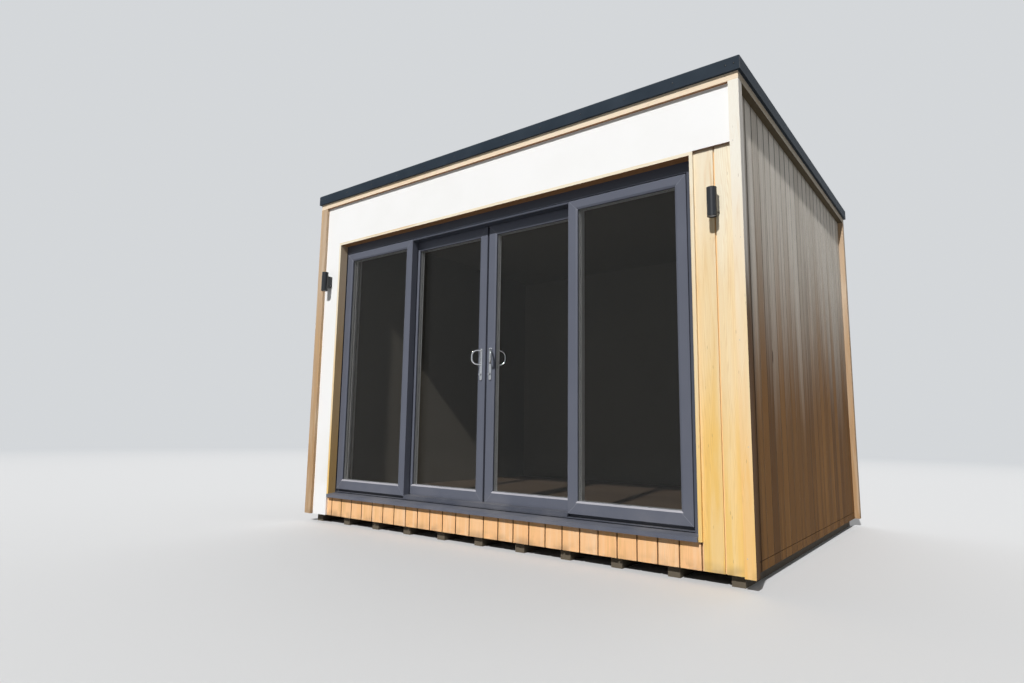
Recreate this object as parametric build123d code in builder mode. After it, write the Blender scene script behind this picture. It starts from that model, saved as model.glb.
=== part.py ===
from build123d import *
import math
import os

# Garden office pod: a flat-roofed timber room with a four-pane sliding patio door.
# Millimetres. X runs along the front from left to right, Y into the building, Z up.
# The origin is the centre of the footprint, on the ground.

# Overall sizes
overall_width = 3674
overall_depth = 3000
overall_height = 2815

# Ground bearers and floor
bearer_height = 63
bearer_width = 70
bearer_count = 11
bearer_inset = 20
floor_structure_top = 229
floor_finish_thickness = 21

# Wall build-up, counted inwards from the outer face of the timber trims
trim_thickness = 58
white_board_setback = 22
cladding_setback = 40
wall_core_thickness = 187
roof_thickness = 276
header_height = 170

# Trims and roof edge
corner_trim_width = 57
front_left_trim_width = 80
top_trim_show = 45
front_trim_joint_from_right = 528
front_trim_joint_width = 1.5
fascia_height = 83
fascia_overhang = 17
fascia_leg = 5
fascia_lip = 3
kerb_height = 25
kerb_inner_reach = 62
fascia_chamfer = 8
membrane_thickness = 4

# Vertical cladding boards
board_pitch = 123.4
board_groove_width = 9
board_groove_depth = 12
first_groove_from_right = 161.5
skirt_joint_rise = 52
skirt_joint_width = 4

# Door opening and its timber lining
opening_from_left = 268.5
opening_from_right = 295.5
lining_thickness = 20
lining_reach = 71

# Door sill
door_base = 240
sill_nose_setback = 6
sill_nose_height = 24
sill_nose_drop = 31

# Door outer frame
frame_left_cover = 58
frame_right_cover = 12
frame_head_cover = 12
frame_depth = 152
frame_head_band = 77
frame_jamb_band = 56
frame_rib_thickness = 6
frame_rib_drop = 18
frame_inner_lip = 16
threshold_base = 10
threshold_ledge_thickness = 4
threshold_foot_setback = 18
threshold_inner_lip_height = 44
sash_seat_depth = 22
sash_seat_setback = 34
middle_rib_height = 14
track_rail_width = 5
track_rail_height = 15

# Fixed sashes on the outer track
sash_setback = 5
sash_depth = 56
sash_stile = 69
sash_top_rail = 65
sash_bottom_rail = 80
sash_extra_width = 15
sash_edge_gap = 64
sash_head_gap = 3
sash_bottom_above_base = 30

# Sliding leaves on the inner track
track_spacing = 70
stile_overlap = 52
leaf_top_rail = 70
leaf_bottom_rail = 83
leaf_top_clearance = 16
leaf_rail_clearance = 5
meeting_gap = 16
meeting_offset = -4
meeting_strip_thickness = 20
meeting_strip_clearance = 5
roller_channel_width = 20
roller_channel_height = 26

# Glazing
glass_thickness = 24
glass_bite = 12
bead_face = 12
bead_fall = 5.6
sash_edge_chamfer = 2

# Interlock strips where a leaf passes behind a fixed sash
interlock_thickness = 6
interlock_gap = 5
interlock_from_edge = 3
interlock_end_gap = 15

# Rollers
roller_radius = 12
roller_width = 7
roller_seat_gap = 0.3
roller_axle_radius = 3
bogie_length = 70
bogie_rise = 2
bogie_slot_width = 9
bogie_slot_length = 30
bogie_from_edge = 90

# Handles
plate_width = 25
plate_height = 230
plate_thickness = 9
plate_round = 12
plate_centre_height = 1233
grip_height = 112
grip_below_plate_top = 10
grip_projection = 52
grip_sideways = 42
grip_diameter = 12
grip_corner_radius = 40
cylinder_diameter = 17
cylinder_reach = 12
cylinder_above_plate_base = 42

# Infill strips that close the outer track over and under the sliding leaves
infill_end_gap = 1
infill_seat_gap = 1
head_infill_cover = 2
head_infill_bevel = 3
threshold_infill_height = 39
threshold_infill_fall = 4

# Wall lights
light_diameter = 54
light_height = 162
light_below_head = 317
light_standoff = 60
light_wall_thickness = 4
light_rim_depth = 14
light_bracket_width = 42
light_bracket_height = 95
right_light_from_corner = 157
left_light_from_corner = 151

# Derived planes
half_width = overall_width / 2
half_depth = overall_depth / 2
front_face = -half_depth
core_x = half_width - trim_thickness
core_front = front_face + trim_thickness
core_rear = half_depth - trim_thickness
room_x = core_x - wall_core_thickness
room_front = core_front + wall_core_thickness
room_rear = core_rear - wall_core_thickness
room_floor = floor_structure_top + floor_finish_thickness
membrane_top = overall_height - kerb_height
roof_top = membrane_top - membrane_thickness
ceiling = roof_top - roof_thickness
fascia_bottom = overall_height - fascia_height
top_trim_bottom = fascia_bottom - top_trim_show
white_face = front_face + white_board_setback
cladding_face = front_face + cladding_setback
opening_left = -half_width + opening_from_left
opening_right = half_width - opening_from_right
frame_top = ceiling - header_height
opening_head = frame_top - frame_head_cover
white_band_bottom = opening_head + lining_thickness
lining_left = opening_left - lining_thickness
lining_right = opening_right + lining_thickness
trim_right_inner = half_width - corner_trim_width
trim_left_inner = -half_width + front_left_trim_width

frame_face = white_face + lining_reach
frame_back = frame_face + frame_depth
frame_left = opening_left - frame_left_cover
frame_right = opening_right + frame_right_cover
frame_middle = (frame_left + frame_right) / 2
head_soffit = frame_top - frame_head_band
jamb_left_inner = frame_left + frame_jamb_band
jamb_right_inner = frame_right - frame_jamb_band
sash_face = frame_face + sash_setback
sash_back = sash_face + sash_depth
leaf_face = sash_face + track_spacing
leaf_back = leaf_face + sash_depth
leaf_middle = (leaf_face + leaf_back) / 2
rib_back = leaf_face - leaf_rail_clearance
rib_front = rib_back - frame_rib_thickness
inner_lip_front = frame_back - frame_inner_lip
threshold_top = door_base + threshold_base
middle_rib_top = threshold_top + middle_rib_height
inner_lip_top = door_base + threshold_inner_lip_height
sash_bottom = door_base + sash_bottom_above_base
sash_top = head_soffit - sash_head_gap
rail_top = threshold_top + track_rail_height
leaf_bottom = rail_top + leaf_rail_clearance
leaf_top = head_soffit - leaf_top_clearance
left_sash_left = frame_left + sash_edge_gap
right_sash_right = frame_right - sash_edge_gap
clear_width = right_sash_right - left_sash_left
pane_width = (clear_width - meeting_gap + 2 * stile_overlap) / 4
sash_width = pane_width + sash_extra_width
leaf_width = pane_width - sash_extra_width
left_sash_right = left_sash_left + sash_width
right_sash_left = right_sash_right - sash_width
meeting_line = frame_middle + meeting_offset
left_leaf_right = meeting_line - meeting_gap / 2
left_leaf_left = left_leaf_right - leaf_width
right_leaf_left = meeting_line + meeting_gap / 2
right_leaf_right = right_leaf_left + leaf_width
sill_underside = door_base - sill_nose_drop


def slab(x_range, y_range, z_range):
    """A plain board or panel between three pairs of limits."""
    with BuildPart() as panel:
        with BuildSketch(Plane.XY.offset(z_range[0])):
            with Locations(((x_range[0] + x_range[1]) / 2, (y_range[0] + y_range[1]) / 2)):
                Rectangle(x_range[1] - x_range[0], y_range[1] - y_range[0])
        extrude(amount=z_range[1] - z_range[0])
    return panel


def profile_run(outline, x_range):
    """An extrusion along X whose section is given as points of depth and height."""
    with BuildPart() as run:
        with BuildSketch(Plane(origin=(x_range[0], 0, 0), x_dir=(0, 1, 0), z_dir=(1, 0, 0))):
            with BuildLine():
                Polyline(*outline, close=True)
            make_face()
        extrude(amount=x_range[1] - x_range[0])
    return run


# Each side of the building: inward direction, run direction, distance to its face, half its run
sides = {
    "front": ((0, 1, 0), (1, 0, 0), half_depth, half_width),
    "rear": ((0, -1, 0), (-1, 0, 0), half_depth, half_width),
    "left": ((1, 0, 0), (0, -1, 0), half_width, half_depth),
    "right": ((-1, 0, 0), (0, 1, 0), half_width, half_depth),
}


def mitred_run(outline, side, butt_joints=()):
    """A trim along one side, mitred at both corners; its section is inward distance and height.

    Each butt joint, given as a distance along the side, parts the trim into two lengths.
    """
    inward, along, reach, half_run = sides[side]
    face_centre = Vector(*inward) * -reach
    with BuildPart() as run:
        with BuildSketch(Plane(origin=face_centre, x_dir=inward, z_dir=along)):
            with BuildLine():
                Polyline(*outline, close=True)
            make_face()
        extrude(amount=half_run + 2 * fascia_overhang, both=True)
        for end in (1, -1):
            corner = face_centre + Vector(*along) * (half_run * end)
            mitre = Plane(origin=corner, z_dir=Vector(*along) * end + Vector(*inward))
            split(bisect_by=mitre, keep=Keep.BOTTOM)
        for joint in butt_joints:
            low = Plane(origin=face_centre + Vector(*along) * joint, x_dir=inward, z_dir=along)
            with BuildSketch(low):
                with BuildLine():
                    Polyline(*outline, close=True)
                make_face()
            extrude(amount=front_trim_joint_width, mode=Mode.SUBTRACT)
    return run


def board_joints(low, high, start):
    """Board joints between two limits, counted from a start joint at the board pitch."""
    first = math.ceil((low + board_groove_width - start) / board_pitch)
    last = math.floor((high - board_groove_width - start) / board_pitch)
    return [start + board_pitch * step for step in range(first, last + 1)]


def board_skin(run, face, back, z_range, start, plane, level_joints=()):
    """Vertical boards along a wall as one skin with a channel at each joint.

    A level joint is a thin channel across all the boards at a height.
    """
    outline = [(run[0], back), (run[0], face)]
    for joint in board_joints(run[0], run[1], start):
        low = joint - board_groove_width / 2
        high = joint + board_groove_width / 2
        outline += [(low, face), (low, face + board_groove_depth)]
        outline += [(high, face + board_groove_depth), (high, face)]
    outline += [(run[1], face), (run[1], back)]
    with BuildPart() as skin:
        with BuildSketch(plane.offset(z_range[0])):
            with BuildLine():
                Polyline(*outline, close=True)
            make_face()
        extrude(amount=z_range[1] - z_range[0])
        for height in level_joints:
            with BuildSketch(plane.offset(height - skirt_joint_width / 2)):
                with Locations(((run[0] + run[1]) / 2, face + board_groove_depth / 2)):
                    Rectangle(run[1] - run[0], board_groove_depth)
            extrude(amount=skirt_joint_width, mode=Mode.SUBTRACT)
    return skin


def pane_range(x_range, z_range, rails):
    """The limits of the glass of a sash, with its edges inside the rebate."""
    return (
        (x_range[0] + sash_stile - glass_bite, x_range[1] - sash_stile + glass_bite),
        (z_range[0] + rails[1] - glass_bite, z_range[1] - rails[0] + glass_bite),
    )


def glazed_frame(x_range, z_range, face, rails, fin_x, is_leaf):
    """A welded sash: stiles and rails round a glass rebate, steep beads and an interlock fin.

    The fin stands on the back of a fixed sash and on the front of a leaf. A leaf also has
    a channel under its bottom rail for the rollers.
    """
    glass_front = face + (sash_depth - glass_thickness) / 2
    pane_x, pane_z = pane_range(x_range, z_range, rails)
    front = Plane(origin=(0, face, 0), x_dir=(1, 0, 0), z_dir=(0, -1, 0))
    rebate = Plane(origin=(0, glass_front, 0), x_dir=(1, 0, 0), z_dir=(0, -1, 0))
    centre = ((x_range[0] + x_range[1]) / 2, (z_range[0] + z_range[1]) / 2)
    pane_centre = ((pane_x[0] + pane_x[1]) / 2, (pane_z[0] + pane_z[1]) / 2)
    pane_size = (pane_x[1] - pane_x[0], pane_z[1] - pane_z[0])
    sight_size = (pane_size[0] - 2 * glass_bite, pane_size[1] - 2 * glass_bite)
    fin_out = track_spacing - sash_depth - interlock_gap
    fin_y = face - fin_out / 2 if is_leaf else face + sash_depth + fin_out / 2
    fin_height = z_range[1] - z_range[0] - 2 * interlock_end_gap
    with BuildPart() as sash:
        with BuildSketch(front):
            with Locations(centre):
                Rectangle(x_range[1] - x_range[0], z_range[1] - z_range[0])
        extrude(amount=-sash_depth)
        chamfer(sash.faces().sort_by(Axis.Y)[0].edges(), sash_edge_chamfer)
        with BuildSketch(front):
            with Locations(pane_centre):
                Rectangle(*sight_size)
        extrude(amount=-sash_depth, mode=Mode.SUBTRACT)
        sash_front = sash.faces().sort_by(Axis.Y)[0]
        chamfer(sash_front.inner_wires()[0].edges(), bead_face, bead_fall, reference=sash_front)
        with BuildSketch(rebate):
            with Locations(pane_centre):
                Rectangle(*pane_size)
        extrude(amount=-glass_thickness, mode=Mode.SUBTRACT)
        with BuildSketch(Plane.XY.offset(z_range[0] + interlock_end_gap)):
            with Locations((fin_x, fin_y)):
                Rectangle(interlock_thickness, fin_out)
        extrude(amount=fin_height)
        if is_leaf:
            with BuildSketch(Plane.XY.offset(z_range[0])):
                with Locations((centre[0], face + sash_depth / 2)):
                    Rectangle(x_range[1] - x_range[0], roller_channel_width)
            extrude(amount=roller_channel_height, mode=Mode.SUBTRACT)
    return sash


def glass_unit(x_range, z_range, face, rails):
    """The sealed glass unit that fills a sash's rebate."""
    pane_x, pane_z = pane_range(x_range, z_range, rails)
    glass_front = face + (sash_depth - glass_thickness) / 2
    return slab(pane_x, (glass_front, glass_front + glass_thickness), pane_z)


def save(built, name):
    """Label one finished piece and write it."""
    built.part.label = name
    export_step(built.part, "parts/" + name + ".step")


os.makedirs("parts", exist_ok=True)

# Bearers on the ground, front to back
bearer_span = 2 * (core_x - bearer_inset) - bearer_width
with BuildPart() as bearers:
    with BuildSketch(Plane.XY):
        with GridLocations(bearer_span / (bearer_count - 1), 1, bearer_count, 1):
            Rectangle(bearer_width, 2 * (core_rear - bearer_inset))
    extrude(amount=bearer_height)
save(bearers, "bearers")

# Floor structure and its finish
floor_z = (bearer_height, floor_structure_top)
floor_structure = slab((-core_x, core_x), (core_front, core_rear), floor_z)
save(floor_structure, "floor_structure")
floor_finish = slab((-room_x, room_x), (room_front, room_rear), (floor_structure_top, room_floor))
save(floor_finish, "floor_finish")

# Walls round the room
wall_z = (floor_structure_top, ceiling)
rear_wall = slab((-core_x, core_x), (room_rear, core_rear), wall_z)
save(rear_wall, "rear_wall")
left_wall = slab((-core_x, -room_x), (room_front, room_rear), wall_z)
save(left_wall, "left_wall")
right_wall = slab((room_x, core_x), (room_front, room_rear), wall_z)
save(right_wall, "right_wall")
front_left_pier = slab((-core_x, frame_left), (core_front, room_front), wall_z)
save(front_left_pier, "front_left_pier")
front_right_pier = slab((frame_right, core_x), (core_front, room_front), wall_z)
save(front_right_pier, "front_right_pier")
front_header = slab((frame_left, frame_right), (core_front, room_front), (frame_top, ceiling))
save(front_header, "front_header")

# Roof
roof_structure = slab((-core_x, core_x), (core_front, core_rear), (ceiling, roof_top))
save(roof_structure, "roof_structure")
roof_membrane = slab((-core_x, core_x), (core_front, core_rear), (roof_top, membrane_top))
save(roof_membrane, "roof_membrane")

# Roof edge: black fascia and the timber trim below it, mitred round the building
fascia_outline = [
    (-fascia_overhang, fascia_bottom),
    (0, fascia_bottom),
    (0, fascia_bottom + fascia_lip),
    (-fascia_overhang + fascia_leg, fascia_bottom + fascia_lip),
    (-fascia_overhang + fascia_leg, membrane_top),
    (kerb_inner_reach, membrane_top),
    (kerb_inner_reach, overall_height),
    (-fascia_overhang + fascia_chamfer, overall_height),
    (-fascia_overhang, overall_height - fascia_chamfer),
]
top_trim_outline = [
    (0, top_trim_bottom),
    (trim_thickness, top_trim_bottom),
    (trim_thickness, membrane_top),
    (0, membrane_top),
]
trim_joints = {"front": (half_width - front_trim_joint_from_right,)}
for side in sides:
    save(mitred_run(fascia_outline, side), "fascia_" + side)
    save(mitred_run(top_trim_outline, side, trim_joints.get(side, ())), "top_trim_" + side)

# Corner posts
post_z = (bearer_height, top_trim_bottom)
post_depth_front = (front_face, core_front)
post_depth_rear = (core_rear, half_depth)
save(slab((-half_width, trim_left_inner), post_depth_front, post_z), "corner_post_front_left")
save(slab((trim_right_inner, half_width), post_depth_front, post_z), "corner_post_front_right")
save(slab((-half_width, -core_x), post_depth_rear, post_z), "corner_post_rear_left")
save(slab((core_x, half_width), post_depth_rear, post_z), "corner_post_rear_right")

# Vertical cladding: right of the door, under the sill, both sides and the back
front_joint = half_width - first_groove_from_right
right_of_door = board_skin(
    (lining_right, trim_right_inner),
    cladding_face,
    core_front,
    (bearer_height, white_band_bottom),
    front_joint,
    Plane.XY,
)
save(right_of_door, "front_right_cladding")
sill_cladding = board_skin(
    (lining_left, lining_right),
    cladding_face,
    core_front,
    (bearer_height, sill_underside),
    front_joint,
    Plane.XY,
)
save(sill_cladding, "sill_cladding")
for side in ("rear", "left", "right"):
    inward, along, reach, half_run = sides[side]
    skin_end = half_run - trim_thickness
    skin = board_skin(
        (-skin_end, skin_end),
        cladding_setback - reach,
        trim_thickness - reach,
        post_z,
        skin_end - board_pitch,
        Plane(origin=(0, 0, 0), x_dir=along, z_dir=(0, 0, 1)),
        (bearer_height + skirt_joint_rise,),
    )
    save(skin, side + "_cladding")

# White rendered board: a strip left of the door and a band over it
white_depth = (white_face, core_front)
white_strip = slab((trim_left_inner, lining_left), white_depth, (bearer_height, white_band_bottom))
save(white_strip, "white_strip")
white_band = slab(
    (trim_left_inner, trim_right_inner), white_depth, (white_band_bottom, top_trim_bottom)
)
save(white_band, "white_band")

# Timber lining of the door opening; behind the wall face it also covers the frame's edge
with BuildPart() as head_lining:
    with BuildSketch(Plane.XY.offset(opening_head)):
        with Locations(((lining_left + lining_right) / 2, (white_face + core_front) / 2)):
            Rectangle(lining_right - lining_left, core_front - white_face)
    extrude(amount=lining_thickness)
    with BuildSketch(Plane.XY.offset(opening_head)):
        with Locations((frame_middle, (core_front + frame_face) / 2)):
            Rectangle(frame_right - frame_left, frame_face - core_front)
    extrude(amount=frame_head_cover)
save(head_lining, "head_lining")
for name, board_x, cover_x in (
    ("left", (lining_left, opening_left), (frame_left, opening_left)),
    ("right", (opening_right, lining_right), (opening_right, frame_right)),
):
    with BuildPart() as lining:
        with BuildSketch(Plane.XY.offset(sill_underside)):
            with Locations((sum(board_x) / 2, (white_face + core_front) / 2)):
                Rectangle(board_x[1] - board_x[0], core_front - white_face)
        extrude(amount=opening_head - sill_underside)
        with BuildSketch(Plane.XY.offset(floor_structure_top)):
            with Locations((sum(cover_x) / 2, (core_front + frame_face) / 2)):
                Rectangle(cover_x[1] - cover_x[0], frame_face - core_front)
        extrude(amount=opening_head - floor_structure_top)
    save(lining, name + "_lining")

# Door sill with a nose in front of the boards and a bed under the frame
sill_front = front_face + sill_nose_setback
sill_outline = [
    (sill_front, sill_underside),
    (sill_front, sill_underside + sill_nose_height),
    (frame_face, door_base),
    (frame_face, floor_structure_top),
    (core_front, floor_structure_top),
    (core_front, sill_underside),
]
with BuildPart() as door_sill:
    with BuildSketch(Plane(origin=(opening_left, 0, 0), x_dir=(0, 1, 0), z_dir=(1, 0, 0))):
        with BuildLine():
            Polyline(*sill_outline, close=True)
        make_face()
    extrude(amount=opening_right - opening_left)
    with BuildSketch(Plane.XY.offset(floor_structure_top)):
        with Locations((frame_middle, (frame_face + frame_back) / 2)):
            Rectangle(frame_right - frame_left, frame_depth)
    extrude(amount=door_base - floor_structure_top)
save(door_sill, "door_sill")


def frame_arch(inset, low):
    """The outline of the frame's head and jambs, its inner edge set in, its feet at a height."""
    return [
        (frame_left, low),
        (frame_left, frame_top),
        (frame_right, frame_top),
        (frame_right, low),
        (jamb_right_inner - inset, low),
        (jamb_right_inner - inset, head_soffit - inset),
        (jamb_left_inner + inset, head_soffit - inset),
        (jamb_left_inner + inset, low),
    ]


# Door outer frame: welded head and jambs with a rib between the tracks and an inner lip
with BuildPart() as door_frame:
    for inset, low, depth_range in (
        (0, door_base, (frame_face, frame_back)),
        (frame_rib_drop, middle_rib_top, (rib_front, rib_back)),
        (frame_rib_drop, inner_lip_top, (inner_lip_front, frame_back)),
    ):
        with BuildSketch(Plane(origin=(0, depth_range[0], 0), x_dir=(1, 0, 0), z_dir=(0, -1, 0))):
            with BuildLine():
                Polyline(*frame_arch(inset, low), close=True)
            make_face()
        extrude(amount=-(depth_range[1] - depth_range[0]))
save(door_frame, "door_frame")

# Threshold between the jambs: a ledge over a shadow gap, sash seat, middle rib, rail and inner lip
threshold_foot = frame_face + threshold_foot_setback
ledge_underside = threshold_top - threshold_ledge_thickness
seat_front = frame_face + sash_seat_setback
seat_back = seat_front + sash_seat_depth
rail_front = leaf_middle - track_rail_width / 2
rail_back = leaf_middle + track_rail_width / 2
threshold_outline = [
    (threshold_foot, door_base),
    (threshold_foot, ledge_underside),
    (frame_face, ledge_underside),
    (frame_face, threshold_top),
    (seat_front, threshold_top),
    (seat_front, sash_bottom),
    (seat_back, sash_bottom),
    (seat_back, threshold_top),
    (rib_front, threshold_top),
    (rib_front, middle_rib_top),
    (rib_back, middle_rib_top),
    (rib_back, threshold_top),
    (rail_front, threshold_top),
    (rail_front, rail_top),
    (rail_back, rail_top),
    (rail_back, threshold_top),
    (inner_lip_front, threshold_top),
    (inner_lip_front, inner_lip_top),
    (frame_back, inner_lip_top),
    (frame_back, door_base),
]
door_threshold = profile_run(threshold_outline, (jamb_left_inner, jamb_right_inner))
save(door_threshold, "door_threshold")

# Infill strips between the fixed sashes
infill_x = (left_sash_right + infill_end_gap, right_sash_left - infill_end_gap)
head_infill_bottom = leaf_top - head_infill_cover
head_infill_outline = [
    (sash_face, head_infill_bottom + head_infill_bevel),
    (sash_face, head_soffit),
    (sash_back, head_soffit),
    (sash_back, head_infill_bottom),
    (sash_face + head_infill_bevel, head_infill_bottom),
]
save(profile_run(head_infill_outline, infill_x), "head_infill")
infill_top = door_base + threshold_infill_height
infill_foot = threshold_top + infill_seat_gap
threshold_infill_outline = [
    (sash_face, infill_foot),
    (sash_face, infill_top - threshold_infill_fall),
    (sash_back, infill_top),
    (sash_back, sash_bottom),
    (seat_front, sash_bottom),
    (seat_front, infill_foot),
]
threshold_infill = profile_run(threshold_infill_outline, infill_x)
save(threshold_infill, "threshold_infill")

# Fixed sashes, each with its sealed glass unit
sash_z = (sash_bottom, sash_top)
sash_rails = (sash_top_rail, sash_bottom_rail)
left_fin = left_sash_right - interlock_from_edge - interlock_thickness / 2
right_fin = right_sash_left + interlock_from_edge + interlock_thickness / 2
for name, x_range, fin_x in (
    ("left_sash", (left_sash_left, left_sash_right), left_fin),
    ("right_sash", (right_sash_left, right_sash_right), right_fin),
):
    save(glazed_frame(x_range, sash_z, sash_face, sash_rails, fin_x, False), name)
    save(glass_unit(x_range, sash_z, sash_face, sash_rails), name + "_glass")

# Sliding leaves, each with its sealed glass unit
leaf_z = (leaf_bottom, leaf_top)
leaf_rails = (leaf_top_rail, leaf_bottom_rail)
fin_step = interlock_thickness + interlock_gap
for name, x_range, fin_x in (
    ("left_leaf", (left_leaf_left, left_leaf_right), left_fin - fin_step),
    ("right_leaf", (right_leaf_left, right_leaf_right), right_fin + fin_step),
):
    save(glazed_frame(x_range, leaf_z, leaf_face, leaf_rails, fin_x, True), name)
    save(glass_unit(x_range, leaf_z, leaf_face, leaf_rails), name + "_glass")

# Meeting strip on the edge of the right leaf
strip_x = (right_leaf_left - meeting_gap + meeting_strip_clearance, right_leaf_left)
strip_y = (leaf_middle - meeting_strip_thickness / 2, leaf_middle + meeting_strip_thickness / 2)
channel_top = leaf_bottom + roller_channel_height
save(slab(strip_x, strip_y, (channel_top, leaf_top)), "meeting_strip")

# Roller carriages in the channel under each leaf
carriage_low = leaf_bottom + bogie_rise
wheel_centre = rail_top + roller_seat_gap + roller_radius
for name, leaf_x in (
    ("left_leaf", (left_leaf_left, left_leaf_right)),
    ("right_leaf", (right_leaf_left, right_leaf_right)),
):
    carriage_x = (leaf_x[0] + bogie_from_edge, leaf_x[1] - bogie_from_edge)
    with BuildPart() as rollers:
        with BuildSketch(Plane.XY.offset(carriage_low)):
            with Locations(*[(place, leaf_middle) for place in carriage_x]):
                Rectangle(bogie_length, roller_channel_width)
        extrude(amount=channel_top - carriage_low)
        with BuildSketch(Plane.XY.offset(carriage_low)):
            with Locations(*[(place, leaf_middle) for place in carriage_x]):
                Rectangle(bogie_slot_length, bogie_slot_width)
        extrude(amount=channel_top - carriage_low - bogie_rise, mode=Mode.SUBTRACT)
        for radius, width in (
            (roller_radius, roller_width),
            (roller_axle_radius, roller_channel_width),
        ):
            side_y = leaf_middle + width / 2
            with BuildSketch(Plane(origin=(0, side_y, 0), x_dir=(1, 0, 0), z_dir=(0, -1, 0))):
                with Locations(*[(place, wheel_centre) for place in carriage_x]):
                    Circle(radius)
            extrude(amount=width)
    save(rollers, name + "_rollers")

# Handle sets: a long plate, a D grip leaning over the glass and a key cylinder, on both faces
plate_top = plate_centre_height + plate_height / 2
grip_top = plate_top - grip_below_plate_top - grip_diameter / 2
grip_bottom = plate_top - grip_below_plate_top - grip_height + grip_diameter / 2
cylinder_z = plate_top - plate_height + cylinder_above_plate_base
grip_length = math.hypot(grip_projection, grip_sideways)
for name, stile_x, to_glass in (
    ("left_leaf", left_leaf_right - sash_stile / 2, -1),
    ("right_leaf", right_leaf_left + sash_stile / 2, 1),
):
    with BuildPart() as handles:
        for face, outward in ((leaf_face, -1), (leaf_back, 1)):
            plate_plane = Plane(
                origin=(stile_x, face, 0), x_dir=(-outward, 0, 0), z_dir=(0, outward, 0)
            )
            with BuildSketch(plate_plane):
                with Locations((0, plate_centre_height)):
                    RectangleRounded(plate_width, plate_height, plate_round)
            extrude(amount=plate_thickness)
            root = Vector(stile_x, face + outward * plate_thickness / 2, 0)
            lean = Vector(to_glass * grip_sideways, outward * grip_projection, 0).normalized()
            grip_plane = Plane(origin=root, x_dir=lean, z_dir=lean.cross(Vector(0, 0, 1)))
            with BuildLine(grip_plane) as grip_path:
                FilletPolyline(
                    (0, grip_top),
                    (grip_length, grip_top),
                    (grip_length, grip_bottom),
                    (0, grip_bottom),
                    radius=grip_corner_radius,
                )
            with BuildSketch(Plane(origin=root + Vector(0, 0, grip_top), z_dir=lean)):
                Circle(grip_diameter / 2)
            sweep(path=grip_path.wires()[0])
            with BuildSketch(plate_plane.offset(plate_thickness)):
                with Locations((0, cylinder_z)):
                    Circle(cylinder_diameter / 2)
            extrude(amount=cylinder_reach)
    save(handles, name + "_handles")

# Wall lights: a tube that shines up and down, on a block fixed to the wall
light_centre = opening_head - light_below_head
light_low = light_centre - light_height / 2
for name, light_x, wall_face in (
    ("left", -half_width + left_light_from_corner, white_face),
    ("right", half_width - right_light_from_corner, cladding_face),
):
    light_y = wall_face - light_standoff
    with BuildPart() as wall_light:
        with BuildSketch(Plane.XY.offset(light_centre - light_bracket_height / 2)):
            with Locations((light_x, (light_y + wall_face) / 2)):
                Rectangle(light_bracket_width, wall_face - light_y)
        extrude(amount=light_bracket_height)
        with BuildSketch(Plane.XY.offset(light_low)):
            with Locations((light_x, light_y)):
                Circle(light_diameter / 2)
        extrude(amount=light_height)
        for rim_z in (light_low, light_low + light_height - light_rim_depth):
            with BuildSketch(Plane.XY.offset(rim_z)):
                with Locations((light_x, light_y)):
                    Circle(light_diameter / 2 - light_wall_thickness)
            extrude(amount=light_rim_depth, mode=Mode.SUBTRACT)
    save(wall_light, name + "_wall_light")
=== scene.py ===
# %% [markdown]
# # A garden office pod, dressed for its picture
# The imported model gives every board, sash and trim of the garden room at its real place. This lesson
# adds what a maker would see on site: grain in the boards, the foil on the door profiles, rubber round
# the glass, pins in the roof edge and weather on the side wall. Every length is in metres, in the frame
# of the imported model: X runs along the front, Y into the room and Z up.

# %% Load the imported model
import math

import bmesh
import bpy
import numpy as np
from mathutils import Matrix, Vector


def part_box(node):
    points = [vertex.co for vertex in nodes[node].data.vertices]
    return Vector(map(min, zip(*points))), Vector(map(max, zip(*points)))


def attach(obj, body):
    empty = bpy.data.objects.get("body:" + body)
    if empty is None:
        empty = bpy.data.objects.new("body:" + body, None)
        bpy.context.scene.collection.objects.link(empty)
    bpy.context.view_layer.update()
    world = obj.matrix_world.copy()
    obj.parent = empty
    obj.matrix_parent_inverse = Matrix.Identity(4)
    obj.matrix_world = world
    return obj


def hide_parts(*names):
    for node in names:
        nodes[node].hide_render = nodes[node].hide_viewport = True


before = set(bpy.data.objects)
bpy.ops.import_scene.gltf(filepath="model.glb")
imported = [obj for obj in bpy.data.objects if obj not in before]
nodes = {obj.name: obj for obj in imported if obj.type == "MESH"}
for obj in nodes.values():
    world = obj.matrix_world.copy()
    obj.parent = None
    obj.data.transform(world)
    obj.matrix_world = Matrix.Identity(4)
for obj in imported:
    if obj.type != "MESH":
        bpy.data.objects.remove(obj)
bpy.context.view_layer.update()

# %% [markdown]
# ## Where the parts are
# A size that comes from the solids stays right when the model changes, so the planes and edges that the
# finishes need are read from the boxes of the solids. A box is its lowest and its highest corner.


# %% Planes and edges
def edge(name, axis, high):
    """One limit of a solid's box: axis 0, 1 or 2, its high side or its low side."""
    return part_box(name)[1 if high else 0][axis]


def middle(name, axis):
    """The middle of a solid's box along an axis."""
    return (edge(name, axis, False) + edge(name, axis, True)) / 2


X, Y, Z = 0, 1, 2
front = edge("corner_post_front_right", Y, False)
right_side = edge("corner_post_front_right", X, True)
board_head = edge("right_cladding", Z, True)
roof_edge_foot = edge("fascia_front", Z, False)
print("front at", round(front, 3), "and boards up to", round(board_head, 3))

# %% [markdown]
# ## The camera
# The photograph was taken with a wide lens from low down, to the right of the door. Its place and its
# three directions were worked out from straight edges of the building, so the picture and the model
# line up. Blender's camera looks along its own -Z, with +Y up, so the rows are right, up and back.

# %% Camera
picture_width = 1024
lens_pixels = 630.685
film_width = 36.0
camera_place = (2.8158, -4.7725, 0.7745)
camera_right = (0.79608, 0.60502, 0.01459)
camera_up = (0.07219, -0.11887, 0.99028)
camera_back = (0.60088, -0.78729, -0.13830)

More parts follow.
